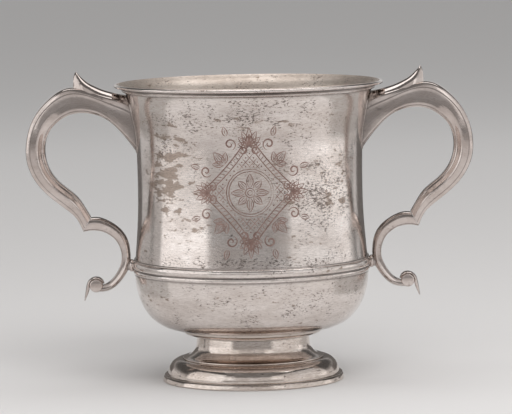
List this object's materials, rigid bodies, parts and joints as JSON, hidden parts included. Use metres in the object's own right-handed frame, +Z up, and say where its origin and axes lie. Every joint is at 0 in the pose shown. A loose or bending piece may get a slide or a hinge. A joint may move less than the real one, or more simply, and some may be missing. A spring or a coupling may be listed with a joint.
{
  "type": "loving cup",
  "caption": "Footed silver loving cup with a bell-shaped bowl, everted lip, moulded girdle, stepped domed foot and hollow double-scroll side handles with leaf spurs.",
  "frame": {"origin": "on the table under the middle of the foot", "axes": "+Z up through the middle of the bowl, +X out through the right handle, front of the bowl towards -Y"},
  "size_m": [0.2472, 0.1482, 0.1723],
  "materials": {
    "bowl_silver": "old polished silver with fine wear lines and tarnish specks",
    "foot_silver": "bright polished silver with dark joint lines",
    "handle_silver": "cast silver, worn smooth, darker in the creases"
  },
  "bodies": {
    "root": {"bowl": "bowl_silver", "lip_wire": "bowl_silver", "girdle": "bowl_silver", "foot_collar": "foot_silver", "foot_neck": "foot_silver", "foot_dome": "foot_silver", "foot_wire": "foot_silver", "right_handle_front_shell": "handle_silver", "right_handle_back_shell": "handle_silver", "right_leaf_spur": "handle_silver", "right_lower_scroll": "handle_silver", "right_tail_leaf": "handle_silver", "right_scroll_plug": "handle_silver", "left_handle_front_shell": "handle_silver", "left_handle_back_shell": "handle_silver", "left_leaf_spur": "handle_silver", "left_lower_scroll": "handle_silver", "left_tail_leaf": "handle_silver", "left_scroll_plug": "handle_silver"}
  },
  "joints": []
}
